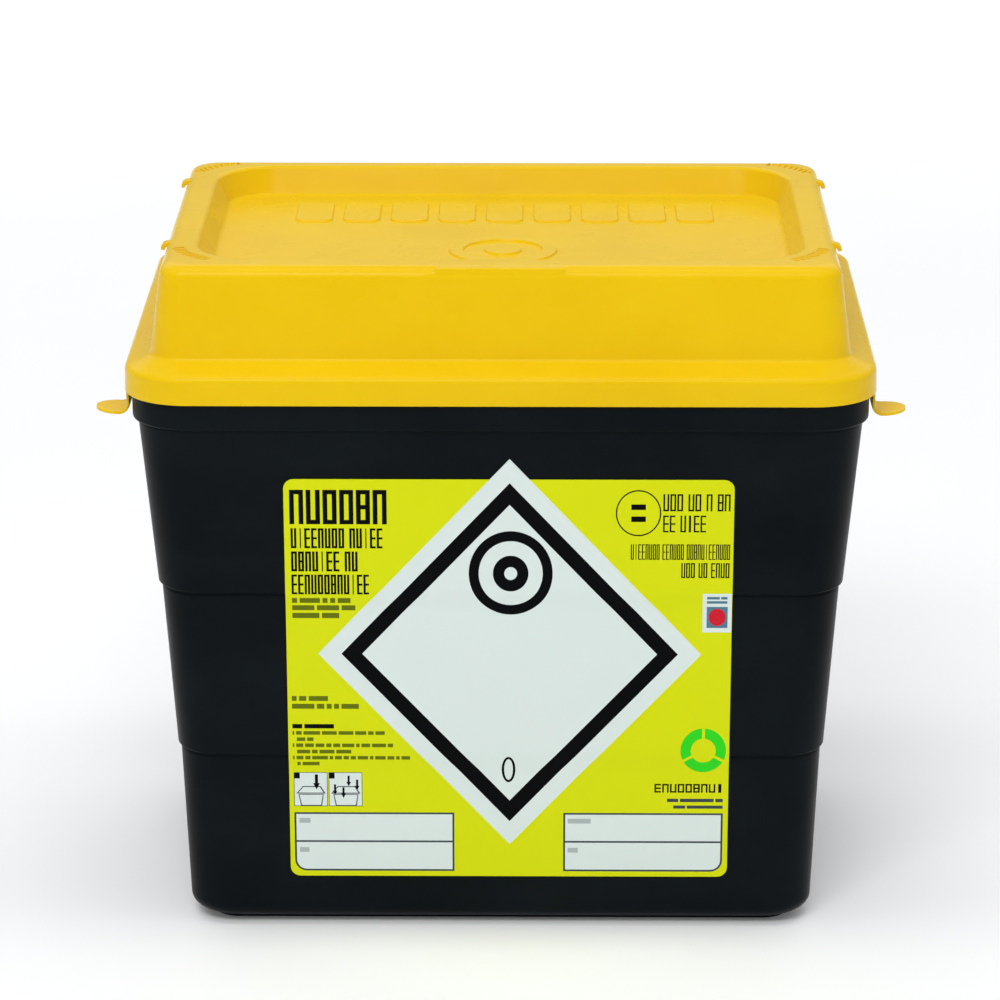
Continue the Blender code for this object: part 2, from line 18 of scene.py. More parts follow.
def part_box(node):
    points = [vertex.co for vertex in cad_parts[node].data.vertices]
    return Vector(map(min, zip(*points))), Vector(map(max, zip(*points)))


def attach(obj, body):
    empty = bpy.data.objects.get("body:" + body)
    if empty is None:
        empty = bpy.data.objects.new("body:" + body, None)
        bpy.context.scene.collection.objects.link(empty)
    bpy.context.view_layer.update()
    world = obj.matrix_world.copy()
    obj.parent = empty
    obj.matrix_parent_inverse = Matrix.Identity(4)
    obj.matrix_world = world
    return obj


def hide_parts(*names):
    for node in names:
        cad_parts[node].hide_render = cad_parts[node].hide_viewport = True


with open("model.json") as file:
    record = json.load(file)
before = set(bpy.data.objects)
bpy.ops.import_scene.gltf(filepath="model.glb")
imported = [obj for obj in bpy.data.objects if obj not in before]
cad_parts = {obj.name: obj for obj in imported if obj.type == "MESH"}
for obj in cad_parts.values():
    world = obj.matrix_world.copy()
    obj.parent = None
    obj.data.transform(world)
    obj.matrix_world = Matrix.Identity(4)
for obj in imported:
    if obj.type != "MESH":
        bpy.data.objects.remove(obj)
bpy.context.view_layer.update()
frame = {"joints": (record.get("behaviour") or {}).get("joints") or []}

MM = 0.001
CORNER_STEPS = 14
LONG_SIDE_STEPS = 24
SHORT_SIDE_STEPS = 16

# Places that the frame gives
lid_low, lid_high = (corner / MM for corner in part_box("lid_shell"))
_, tub_high = (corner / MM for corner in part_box("base_tub"))
label_low, label_high = (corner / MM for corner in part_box("front_label"))
pivots = {joint["name"]: Vector(joint["pos_m"]) / MM for joint in frame["joints"]}

RIM_HALF_X = lid_high.x
RIM_DEPTH = 200.0
RIM_Y = lid_low.y + RIM_DEPTH / 2.0
RIM_FRONT = RIM_Y - RIM_DEPTH / 2.0
RIM_REAR = RIM_Y + RIM_DEPTH / 2.0
RIM_TOP = tub_high.z
LID_TOP = lid_high.z
SKIRT_BOTTOM = pivots["tab_left_flex"].z

# Tub: the outer wall of each stage as its top and its foot (inset, height), and its corner radius
TUB_WALL = 2.0
TUB_FLOOR = 2.0
BAND_INSET = 2.5
BAND_BOTTOM = 202.4
BAND_CORNER = 22.0
BAND_SHOULDER = 1.5
RIM_EDGE = 0.7
STAGES = (
    ((4.9, 202.0), (10.4, 137.4), 18.0),
    ((11.8, 136.2), (16.0, 71.1), 17.0),
    ((17.2, 69.9), (19.7, 9.5), 16.0),
)
STEP_LIP = 0.7
EDGE_RADIUS = 7.5
FOOT_RING = (28.0, 32.8)     # insets of its outer and its inner side

# Lid
LID_WALL = 1.6
SKIRT_CORNER = 24.3
RAISED_CORNER = 11.0
TOP_CORNER = 8.5
DISH_CORNER = 22.5
DISH_SHIFT = 1.6             # the dish sits a little to the rear
DISH_FLOOR = LID_TOP - 11.0
TOP_FILLET = 4.8
TOP_INSET = 18.5
SHOULDER = (3.0, SKIRT_BOTTOM + 8.5)       # centre of the skirt's shoulder: inset and height
SHOULDER_ANGLE = 66.0
RAISED_FOOT = (8.3, SKIRT_BOTTOM + 16.0)   # centre of the fillet at the raised part's foot, likewise
DISH_EDGE = (24.6, 2.0)      # top edge of the dish: inset of its fillet's centre, and its radius
DISH_FOOT = (32.2, 2.5)      # foot of the dish's wall, likewise
DISH_WALL_ANGLE = -28.0
GRIP_LIP = 47.0

# Label film
FILM_GAP = 0.3
FILM_THICKNESS = 0.25
LABEL_CORNER = 3.8


# ---- mesh tools

def arc(centre, radius, start, end, steps):
    """Points on a circle in a plane, angles in degrees."""
    points = []
    for step in range(steps + 1):
        angle = math.radians(start + (end - start) * step / steps)
        points.append((centre[0] + radius * math.cos(angle), centre[1] + radius * math.sin(angle)))
    return points


def circle_points(centre, radius, steps=72):
    return arc(centre, radius, 0.0, 360.0, steps)[:-1]


def on_circle(centre, radius, degrees):
    return arc(centre, radius, degrees, degrees, 1)[0]


def mix(first, second, share):
    return first + (second - first) * share


def ease(share):
    share = min(1.0, max(0.0, share))
    return share * share * (3.0 - 2.0 * share)


def corner_arcs(centre, half_u, half_v, radius, steps):
    """The four rounded corners of a rectangle, anticlockwise from the upper right one."""
    corners = []
    for turn, (sign_u, sign_v) in enumerate(((1, 1), (-1, 1), (-1, -1), (1, -1))):
        corner = (centre[0] + sign_u * (half_u - radius), centre[1] + sign_v * (half_v - radius))
        corners.append(arc(corner, radius, 90.0 * turn, 90.0 * (turn + 1), steps))
    return corners


def plan(inset, height, corner, shift=0.0):
    """One rounded rectangle, anticlockwise from the right-hand side's rear end."""
    halves = (RIM_HALF_X - inset, RIM_DEPTH / 2.0 - inset)
    corners = corner_arcs((0.0, RIM_Y + shift), *halves, corner, CORNER_STEPS)
    points = []
    for turn, bend_points in enumerate(corners):
        points += bend_points
        steps = SHORT_SIDE_STEPS if turn % 2 else LONG_SIDE_STEPS
        here, there = bend_points[-1], corners[(turn + 1) % 4][0]
        for step in range(1, steps):
            share = step / steps
            points.append((mix(here[0], there[0], share), mix(here[1], there[1], share)))
    return [Vector((x, y, height)) for x, y in points]


def bend(inset, height, radius, start, end, steps, corner, shift=0.0):
    """Rings round a fillet whose centre is given: 0 degrees points outwards and 90 upwards."""
    rings = []
    for out, up in arc((0.0, 0.0), radius, start, end, steps):
        rings.append((inset - out, height + up, corner, shift))
    return rings


def join_rows(builder, lower, upper):
    """A closed band of faces between two rows of vertices."""
    for index in range(len(lower)):
        after = (index + 1) % len(lower)
        builder.faces.new((lower[index], lower[after], upper[after], upper[index]))


def add_loft(builder, sections, capped=True):
    """A body through sections with equal point counts. Returns its rows of vertices."""
    rows = [[builder.verts.new(point) for point in section] for section in sections]
    for lower, upper in zip(rows, rows[1:]):
        join_rows(builder, lower, upper)
    if capped:
        builder.faces.new(rows[0])
        builder.faces.new(rows[-1])
    return rows


def add_prism(builder, outline, low, high, place):
    """An outline of (a, b) points pushed from low to high; place(a, b, along) gives each point."""
    sections = [[place(a, b, along) for a, b in outline] for along in (low, high)]
    return add_loft(builder, sections)


def add_pair(builder, outline, near, far, place):
    """The same prism on the left and on the right, from near to far of the middle."""
    add_prism(builder, outline, -far, -near, place)
    add_prism(builder, outline, near, far, place)


def across_x(y_z_centre=(0.0, 0.0)):
    """Places an outline of (y, z) points in a plane square to X."""
    return lambda a, b, along: Vector((along, a + y_z_centre[0], b + y_z_centre[1]))


def along_y(side, origin=(0.0, 0.0, 0.0)):
    """Places an outline of (outwards, up) points in a plane square to Y, on one side of the lid."""
    x, y, z = origin
    return lambda a, b, along: Vector((x + side * a, y + along, z + b))


def soften(builder, width, least_angle=35.0):
    """Rounds a small body's hard edges."""
    bmesh.ops.recalc_face_normals(builder, faces=builder.faces)
    limit = math.radians(least_angle)
    hard = [edge for edge in builder.edges if edge.calc_face_angle(0.0) > limit]
    bmesh.ops.bevel(
        builder, geom=hard, offset=width, segments=2, profile=0.5,
        affect="EDGES", clamp_overlap=True,
    )


def new_object(name, data):
    made = bpy.data.objects.new(name, data)
    bpy.context.scene.collection.objects.link(made)
    return made


def new_mesh(name, builder):
    """An object from a builder in millimetres."""
    bmesh.ops.recalc_face_normals(builder, faces=builder.faces)
    mesh = bpy.data.meshes.new(name)
    builder.to_mesh(mesh)
    builder.free()
    mesh.transform(Matrix.Scale(MM, 4))
    return new_object(name, mesh)


def add_outline(points, polygons, outline):
    """Adds one outline to the points and polygons that a flat surface is divided by."""
    first = len(points)
    points += [Vector(point) for point in outline]
    polygons.append(list(range(first, len(points))))


def apply_modifiers(target):
    """Makes what the modifiers give the object's own mesh."""
    bpy.context.view_layer.update()
    evaluated = target.evaluated_get(bpy.context.evaluated_depsgraph_get())
    made = bpy.data.meshes.new_from_object(evaluated)
    target.modifiers.clear()
    target.data = made


def combine(target, builder, operation="UNION"):
    """Joins a group of bodies to an object, or cuts them from it."""
    tool = new_mesh("tool", builder)
    modifier = target.modifiers.new("combine", "BOOLEAN")
    modifier.operation = operation
    modifier.solver = "EXACT"
    modifier.object = tool
    apply_modifiers(target)
    bpy.data.objects.remove(tool)


def finish_piece(piece, body, node, materials, sharp_angle=34.0):
    """Shading, materials and the piece's place in the frame."""
    for material in materials:
        piece.data.materials.append(material)
    piece.data.shade_smooth()
    piece.data.set_sharp_from_angle(angle=math.radians(sharp_angle))
    weighted = piece.modifiers.new("weighted_normals", "WEIGHTED_NORMAL")
    weighted.keep_sharp = True
    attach(piece, body)
    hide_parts(node)


# ---- materials

def linear(red, green, blue):
    """A colour given in display values from 0 to 255, as Blender's linear values."""
    channels = []
    for value in (red, green, blue):
        value /= 255.0
        channels.append(value / 12.92 if value <= 0.04045 else ((value + 0.055) / 1.055) ** 2.4)
    return (*channels, 1.0)


class Nodes:
    """A short way to write a material's node tree."""

    def __init__(self, name):
        self.material = bpy.data.materials.new(name)
        self.material.use_nodes = True
        self.tree = self.material.node_tree
        self.shader = self.tree.nodes["Principled BSDF"]
        self.coordinates = self.tree.nodes.new("ShaderNodeTexCoord").outputs["Object"]

    def add(self, kind, inputs, **settings):
        node = self.tree.nodes.new(kind)
        for key, value in settings.items():
            setattr(node, key, value)
        for key, value in inputs.items():
            self.feed(node.inputs[key], value)
        return node

    def feed(self, socket, value):
        if isinstance(value, bpy.types.NodeSocket):
            self.tree.links.new(value, socket)
        else:
            socket.default_value = value

    def stretched(self, scale):
        inputs = {"Vector": self.coordinates, "Scale": scale}
        return self.add("ShaderNodeMapping", inputs).outputs["Vector"]

    def noise(self, scale, detail=3.0, roughness=0.5, vector=None):
        inputs = dict(Vector=vector or self.coordinates, Scale=scale, Detail=detail, Roughness=roughness)
        return self.add("ShaderNodeTexNoise", inputs).outputs["Fac"]

    def remap(self, value, low, high, to_low, to_high):
        inputs = {"Value": value, "From Min": low, "From Max": high, "To Min": to_low, "To Max": to_high}
        return self.add("ShaderNodeMapRange", inputs, clamp=True).outputs["Result"]

    def maths(self, operation, first, second):
        return self.add("ShaderNodeMath", {0: first, 1: second}, operation=operation).outputs[0]

    def blend(self, share, first, second):
        node = self.add("ShaderNodeMix", {"Factor": share, "A": first, "B": second}, data_type="RGBA")
        return next(output for output in node.outputs if output.type == "RGBA")

    def bump(self, height, strength, distance, normal=None):
        inputs = {"Height": height, "Strength": strength, "Distance": distance}
        if normal:
            inputs["Normal"] = normal
        return self.add("ShaderNodeBump", inputs).outputs["Normal"]

    def shade(self, **values):
        for key, value in values.items():
            self.feed(self.shader.inputs[key.replace("_", " ")], value)
        return self.material


def moulded_plastic(name, base, pale, deep, roughness, gloss, scuff_strength, dust):
    """Injection-moulded polypropylene: cloudy colour, flow streaks, fine grain, faint scuffs."""
    nodes = Nodes(name)
    cloud = nodes.noise(9.0, 4.0, 0.55)
    streaks = nodes.noise(30.0, 4.0, 0.6, nodes.stretched((0.7, 0.8, 1.2)))
    colour = nodes.blend(nodes.remap(cloud, 0.35, 0.7, 0.0, 1.0), deep, base)
    colour = nodes.blend(nodes.remap(streaks, 0.40, 0.80, 0.0, 0.30), colour, pale)
    scratches = nodes.noise(120.0, 2.0, 0.7, nodes.stretched((0.12, 0.5, 3.0)))
    scuffs = nodes.maths("MULTIPLY", nodes.remap(scratches, 0.60, 0.80, 0.0, 1.0),
                         nodes.remap(nodes.noise(22.0, 2.0), 0.50, 0.70, 0.0, 1.0))
    colour = nodes.blend(nodes.maths("MULTIPLY", scuffs, scuff_strength), colour, pale)
    patches = nodes.remap(nodes.noise(35.0, 3.0), 0.3, 0.7, -0.05, 0.05)
    rough = nodes.maths("ADD", nodes.maths("ADD", patches, roughness),
                        nodes.maths("MULTIPLY", scuffs, 0.10))
    grain = nodes.bump(nodes.noise(2200.0, 2.0, 0.6), 0.12, 0.0001)
    ripple = nodes.bump(nodes.noise(40.0, 1.0, 0.4), 0.05, 0.0008, grain)
    return nodes.shade(
        Base_Color=colour, Roughness=rough, Normal=ripple, Specular_IOR_Level=gloss,
        Sheen_Weight=dust, Sheen_Roughness=0.45, Sheen_Tint=(0.80, 1.0, 0.55, 1.0),
    )


def printed_film(name, ink, worn, gloss=0.10):
    """Ink on a glossy self-adhesive film: fine print grain and a slightly uneven surface."""
    nodes = Nodes(name)
    grain = nodes.remap(nodes.noise(900.0, 2.0, 0.7), 0.35, 0.65, 0.0, 0.35)
    cloud = nodes.remap(nodes.noise(18.0, 3.0), 0.35, 0.65, 0.0, 0.5)
    colour = nodes.blend(nodes.maths("MULTIPLY", grain, cloud), ink, worn)
    rough = nodes.remap(nodes.noise(60.0, 3.0), 0.3, 0.7, 0.29, 0.40)
    fine = nodes.bump(nodes.noise(1500.0, 2.0), 0.06, 0.0001)
    ripple = nodes.bump(nodes.noise(30.0, 2.0, 0.4), 0.08, 0.0006, fine)
    return nodes.shade(
        Base_Color=colour, Roughness=rough, Normal=ripple, Specular_IOR_Level=gloss,
    )


YELLOW = moulded_plastic(
    "yellow_polypropylene", linear(235, 194, 2), linear(240, 206, 24), linear(230, 187, 1),
    roughness=0.28, gloss=0.105, scuff_strength=0.15, dust=0.11,
)
BLACK = moulded_plastic(
    "black_polypropylene", linear(13, 19, 22), linear(27, 34, 38), linear(9, 14, 17),
    roughness=0.36, gloss=0.048, scuff_strength=0.2, dust=0.0,
)


# ---- tub

def on_line(start, end, height):
    return mix(start[0], end[0], (height - start[1]) / (end[1] - start[1]))


def step_rings(upper, lower):
    """The small groove above a lower stage, and the rounded lip of the stage over it."""
    (top_inset, top_z), _, corner = lower
    _, (foot_inset, foot_z), upper_corner = upper
    rings = [
        (top_inset, top_z - 0.9, corner),
        (top_inset + 0.45, top_z + 0.1, corner - 0.4),
        (top_inset + 0.35, top_z + 0.7, corner - 0.3),
    ]
    return rings + bend(foot_inset + STEP_LIP, foot_z + STEP_LIP, STEP_LIP, -100.0, 5.0, 6, upper_corner)


def tub_outer_rings():
    """From the foot ring's inner side, under the edge and up to the top of the rim."""
    foot_outer, foot_inner = FOOT_RING
    rings = [
        (foot_inner, TUB_FLOOR, 5.5),
        (foot_inner - 0.2, 0.3, 5.5),
        (foot_inner - 0.5, 0.0, 5.5),
        (foot_outer + 0.6, 0.0, 9.5),
        (foot_outer + 0.3, 0.3, 10.0),
        (foot_outer, TUB_FLOOR, 10.0),
    ]
    low_inset, low_z = STAGES[2][1]
    rings += bend(low_inset + EDGE_RADIUS, low_z, EDGE_RADIUS, -90.0, 0.0, 9, STAGES[2][2] - 1.0)
    rings += step_rings(STAGES[1], STAGES[2]) + step_rings(STAGES[0], STAGES[1])
    top_inset, top_z = STAGES[0][0]
    rings.append((top_inset, top_z - 0.4, 18.5))
    rings.append((top_inset - 0.15, top_z + 0.1, 19.5))
    rings += bend(BAND_INSET + 0.1 + BAND_SHOULDER, BAND_BOTTOM + BAND_SHOULDER, BAND_SHOULDER,
                  -85.0, 0.0, 6, BAND_CORNER)
    rings += bend(BAND_INSET + RIM_EDGE, RIM_TOP - RIM_EDGE, RIM_EDGE, 0.0, 90.0, 4, BAND_CORNER)
    return rings


def tub_inner_rings():
    """From the top of the rim down the inside to the floor."""
    inner_band = BAND_INSET + TUB_WALL
    rings = bend(inner_band - 0.6, RIM_TOP - 0.6, 0.6, 90.0, 180.0, 4, 20.0)
    rings += bend(inner_band + 1.0, BAND_BOTTOM + TUB_WALL + 1.0, 1.0, 0.0, -75.0, 4, 19.5)
    for stage in STAGES:
        (top_inset, top_z), (foot_inset, foot_z), corner = stage
        rings.append((top_inset + TUB_WALL, top_z + 0.8, corner - 2.0))
        if stage is not STAGES[2]:
            rings.append((foot_inset + TUB_WALL, foot_z + 2.4, corner - 2.0))
            rings.append((foot_inset + TUB_WALL + 0.5, foot_z + 1.5, corner - 2.2))
    centre_inset, centre_z = STAGES[2][1][0] + EDGE_RADIUS, STAGES[2][1][1]
    rings += bend(centre_inset, centre_z, EDGE_RADIUS - TUB_WALL, 0.0, -90.0, 8, STAGES[2][2] - 4.0)
    return rings


HINGE = pivots["lid_hinge"].yz
HINGE_X = 70.0
BAR_RADIUS = 2.0
RUNNING_GAP = 0.3
CLIP_THICKNESS = 1.88
CLIP_LENGTH = 14.0
LUG_THICKNESS = 3.0
LUG_RADIUS = 3.6
BEAD_TOP = 208.4
BEAD_HALF_LENGTH = 9.0
CATCH_CORNERS = ("front_left", "front_right", "rear_left", "rear_right")


def hinge_lugs():
    """Two pairs of lugs on the rear of the rim band, and the bar that each pair holds."""
    lugs, bars = bmesh.new(), bmesh.new()
    root = RIM_REAR - BAND_INSET - 1.0 - HINGE[0]
    outline = arc((0.0, 0.0), LUG_RADIUS, 90.0, -70.0, 18)
    outline += [(root, -LUG_RADIUS - 2.6), (root, LUG_RADIUS)]
    circle = circle_points((0.0, 0.0), BAR_RADIUS, 40)
    inner = CLIP_LENGTH / 2.0 + 0.5
    reach = inner + LUG_THICKNESS / 2.0
    for centre_x in (-HINGE_X, HINGE_X):
        for low in (-inner - LUG_THICKNESS, inner):
            add_prism(lugs, outline, centre_x + low, centre_x + low + LUG_THICKNESS, across_x(HINGE))
        add_prism(bars, circle, centre_x - reach, centre_x + reach, across_x(HINGE))
    soften(lugs, 0.35)
    return lugs, bars


def catch_beads():
    """A bead inside the rim under each corner catch."""
    builder = bmesh.new()
    face = RIM_HALF_X - BAND_INSET - TUB_WALL
    root, top = face + 0.6, BEAD_TOP
    outline = [(root, top + 0.4), (face - 0.8, top - 0.4), (face - 1.1, top - 1.0)]
    outline += [(face - 1.0, top - 1.6), (root, top - 2.8)]
    for corner in CATCH_CORNERS:
        pivot = pivots[f"catch_{corner}_flex"]
        side = math.copysign(1.0, pivot.x)
        add_prism(builder, outline, pivot.y - BEAD_HALF_LENGTH, pivot.y + BEAD_HALF_LENGTH, along_y(side))
    return builder


def build_tub():
    builder = bmesh.new()
    add_loft(builder, [plan(*ring) for ring in tub_outer_rings() + tub_inner_rings()])
    tub = new_mesh("tub", builder)
    lugs, bars = hinge_lugs()
    for feature in (lugs, bars, catch_beads()):
        combine(tub, feature)
    finish_piece(tub, "base", "base_tub", [BLACK])


# ---- lid

def lid_inner_rings():
    """From the underside of the dish, outwards and down to the skirt's lower lip."""
    foot_inset, foot_radius = DISH_FOOT
    rings = bend(foot_inset, DISH_FLOOR + foot_radius, foot_radius + LID_WALL,
                 -90.0, DISH_WALL_ANGLE, 6, 20.0, DISH_SHIFT)
    rings += [
        (25.2, LID_TOP - 2.6, 23.5, DISH_SHIFT),
        (24.2, LID_TOP - LID_WALL - 0.3, 23.5, DISH_SHIFT),
        (23.0, LID_TOP - LID_WALL, 23.5, DISH_SHIFT),
        (TOP_INSET, LID_TOP - LID_WALL, TOP_CORNER),
    ]
    rings += bend(TOP_INSET, LID_TOP - TOP_FILLET, TOP_FILLET - LID_WALL, 85.0, 7.0, 6, TOP_CORNER)
    rings += bend(*RAISED_FOOT, 1.8 + LID_WALL,
                  186.0, 245.0, 5, RAISED_CORNER)
    rings += bend(*SHOULDER, 2.8 - LID_WALL,
                  SHOULDER_ANGLE, 0.0, 4, SKIRT_CORNER - 2.5)
    rings += [
        (1.6, SKIRT_BOTTOM + 2.4, SKIRT_CORNER - 1.6),
        (1.9, SKIRT_BOTTOM + 1.8, SKIRT_CORNER - 1.8),
        (1.9, SKIRT_BOTTOM + 1.2, SKIRT_CORNER - 1.8),
        (1.6, SKIRT_BOTTOM + 0.7, SKIRT_CORNER - 1.6),
    ]
    rings += bend(1.15, SKIRT_BOTTOM + 0.45, 0.45, 180.0, 270.0, 3, SKIRT_CORNER - 1.4)
    return rings


def lid_outer_rings():
    """From the skirt's lower lip, over the ledge and the raised part, to the dish's floor."""
    rings = bend(0.5, SKIRT_BOTTOM + 0.5, 0.5, -90.0, 0.0, 3, SKIRT_CORNER)
    rings.append((0.1, SKIRT_BOTTOM + 4.5, SKIRT_CORNER))
    rings += bend(*SHOULDER, 2.8, 0.0, SHOULDER_ANGLE, 7, SKIRT_CORNER - 1.0)
    rings.append((4.0, SKIRT_BOTTOM + 12.0, 20.0))
    rings.append((6.5, SKIRT_BOTTOM + 13.15, 16.0))
    rings += bend(*RAISED_FOOT, 1.8, 245.0, 186.0, 6, RAISED_CORNER + 0.8)
    rings.append((11.3, SKIRT_BOTTOM + 25.5, RAISED_CORNER - 0.8))
    rings += bend(TOP_INSET, LID_TOP - TOP_FILLET, TOP_FILLET, 7.0, 90.0, 10, TOP_CORNER)
    (edge_inset, edge_radius), (foot_inset, foot_radius) = DISH_EDGE, DISH_FOOT
    rings += bend(edge_inset, LID_TOP - edge_radius, edge_radius,
                  90.0, 180.0 + DISH_WALL_ANGLE, 7, DISH_CORNER + 0.6, DISH_SHIFT)
    rings += bend(foot_inset, DISH_FLOOR + foot_radius, foot_radius,
                  DISH_WALL_ANGLE, -90.0, 8, DISH_CORNER - 4.0, DISH_SHIFT)
    return rings


def rounded_box(centre, half_u, half_v, radius, inset):
    """An outline that shrinks by the inset, with the same number of points each time."""
    corners = corner_arcs(centre, half_u - inset, half_v - inset, max(0.15, radius - inset), 5)
    return sum(corners, [])


# Section of an embossed edge: (distance inwards from the foot, height)
EMBOSS_SECTION = ((0.0, 0.0), (0.25, 0.1), (0.42, 0.32), (0.55, 0.68), (0.72, 0.92), (1.05, 1.0))
BAR_COUNT = 9
BAR_PITCH = 18.6


def emboss_shapes():
    """Outlines from foot to top: the plain bars and the disc, then the ring's outer and inner edge."""
    insets = [inset for inset, _ in EMBOSS_SECTION]
    solid = []
    for index in range(BAR_COUNT):
        centre = (0.75 + (index - (BAR_COUNT - 1) / 2.0) * BAR_PITCH, RIM_FRONT + 142.0)
        solid.append([rounded_box(centre, 7.6, 15.0, 3.0, inset) for inset in insets])
    emblem = (0.5, RIM_FRONT + 82.0)
    solid.append([circle_points(emblem, 7.5 - inset, 48) for inset in insets])
    ring_outer = [circle_points(emblem, 21.0 - inset) for inset in insets]
    ring_inner = [circle_points(emblem, 14.5 + inset) for inset in insets]
    return solid, ring_outer, ring_inner


def raise_wall(builder, foot, sections):
    """Faces from an embossed outline's foot up to its top row, which is returned."""
    floor_z = foot[0].co.z
    rows = [foot]
    for (_, height), outline in zip(EMBOSS_SECTION[1:], sections[1:]):
        rows.append([builder.verts.new((x, y, floor_z + height)) for x, y in outline])
    for lower, upper in zip(rows, rows[1:]):
        join_rows(builder, lower, upper)
    return rows[-1]


def embossed_floor(builder, rim_row):
    """Closes the dish with its floor, on which plain bars, a ring and a disc stand proud."""
    floor_z = rim_row[0].co.z
    solid, ring_outer, ring_inner = emboss_shapes()
    points, polygons = [], []
    add_outline(points, polygons, [vert.co[:2] for vert in rim_row])
    for sections in solid + [ring_outer, ring_inner]:
        add_outline(points, polygons, sections[0])
    found = delaunay_2d_cdt(points, [], polygons, 0, 1e-5, True)
    flat_points, _, faces, origin_points, _, origin_faces = found

    verts, by_input = [], {}
    for position, origins in zip(flat_points, origin_points):
        given = [origin for origin in origins if origin < len(rim_row)]
        if given:
            verts.append(rim_row[given[0]])
        else:
            verts.append(builder.verts.new((position.x, position.y, floor_z)))
        for origin in origins:
            by_input[origin] = verts[-1]
    outer_id, inner_id = len(polygons) - 2, len(polygons) - 1
    solid_ids = set(range(1, len(solid) + 1))
    for face, origins in zip(faces, origin_faces):
        owners = set(origins)
        under_ring = outer_id in owners and inner_id not in owners
        if 0 in owners and not owners & solid_ids and not under_ring:
            builder.faces.new([verts[index] for index in face])

    feet = [[by_input[index] for index in polygon] for polygon in polygons]
    for foot, sections in zip(feet[1:], solid):
        builder.faces.new(raise_wall(builder, foot, sections))
    outer_top = raise_wall(builder, feet[outer_id], ring_outer)
    inner_top = raise_wall(builder, feet[inner_id], ring_inner)
    join_rows(builder, outer_top, inner_top)


def grip_lip():
    """Fills the front top edge's fillet out to a crisp corner over the grip."""
    builder = bmesh.new()
    front, foot = RIM_FRONT + 13.7, LID_TOP - 7.0
    outline = [(front - 0.15, foot)] + arc((front + 1.5, LID_TOP - 1.0), 0.8, 170.0, 95.0, 4)
    outline += [(front + 6.0, LID_TOP - 0.18), (front + 6.0, LID_TOP - 1.3), (front + 1.2, foot)]
    add_prism(builder, outline, -GRIP_LIP / 2.0, GRIP_LIP / 2.0, across_x())
    return builder


def hinge_clips():
    """Open clips that wrap the tub's hinge bars and run up into the skirt's rear wall."""
    builder = bmesh.new()
    inner, outer = BAR_RADIUS + RUNNING_GAP, BAR_RADIUS + CLIP_THICKNESS
    rear = RIM_REAR - HINGE[0]
    outline = arc((0.0, 0.0), outer, -40.0, 72.0, 14)
    outline += [(rear + 1.4, 5.2), (rear + 0.25, 7.6), (rear - 0.9, 7.9), (rear - 1.3, 4.4)]
    outline += arc((0.0, 0.0), outer, 142.0, 165.0, 3)
    outline += arc((0.0, 0.0), inner, 165.0, -40.0, 26)
    half = CLIP_LENGTH / 2.0
    add_pair(builder, outline, HINGE_X - half, HINGE_X + half, across_x(HINGE))
    return builder


HANDLE = pivots["handle_swing"].yz
EAR_X = 90.0
EAR_THICKNESS = 3.0


def handle_ears():
    builder = bmesh.new()
    radius = 4.3
    outline = arc((0.0, 0.0), radius, -8.0, 180.0, 20)
    outline += [(-radius, -4.0), (-radius + 1.6, -5.0), (radius, -7.9), (radius + 0.9, -7.6)]
    add_pair(builder, outline, EAR_X, EAR_X + EAR_THICKNESS, across_x(HANDLE))
    soften(builder, 0.4)
    return builder


def ear_holes():
    builder = bmesh.new()
    circle = circle_points((0.0, 0.0), BAR_RADIUS + RUNNING_GAP, 40)
    add_pair(builder, circle, EAR_X - 2.0, EAR_X + EAR_THICKNESS + 2.0, across_x(HANDLE))
    return builder


HOOKS_BEHIND = (56.0, 156.0)


def hook_lugs():
    """Small claws on the raised part's short top edges."""
    builder = bmesh.new()
    top = [(-4.0, -0.1), (0.6, -0.1), (2.1, -0.4), (3.1, -1.0), (3.5, -1.9), (3.6, -3.1)]
    under = [(2.2, -3.2), (1.9, -2.4), (1.2, -1.8), (0.0, -1.7), (-4.0, -1.7)]
    for side in (-1.0, 1.0):
        place = along_y(side, (side * (RIM_HALF_X - 15.4), 0.0, LID_TOP - 0.6))
        for behind in HOOKS_BEHIND:
            centre_y = RIM_FRONT + behind
            add_prism(builder, top + under, centre_y - 2.1, centre_y + 2.1, place)
    soften(builder, 0.3)
    return builder


# Press marks on the lid's top
MARK_DEPTH = 0.7
MARK_HALF_LENGTH = 11.0
MARK_CENTRE_X = 93.4
MARK_ARCS = (                # distance behind the front, radius, direction of the middle in degrees
    (50.0, 27.3, -36.0),
    (152.5, 31.0, 46.0),
)
RIB_COUNT = 8
RIB_HALF_WIDTH = 0.42


def beside_arc(side, behind, radius, middle):
    """Places a point of a press mark from its distances outwards, along the arc and up."""
    centre = Vector((side * MARK_CENTRE_X, RIM_FRONT + behind, LID_TOP))

    def place(out, along, up):
        turn = math.radians(middle) + along / radius
        step = Vector((side * math.cos(turn), math.sin(turn), 0.0)) * (radius + out)
        return centre + step + Vector((0.0, 0.0, up))

    return place


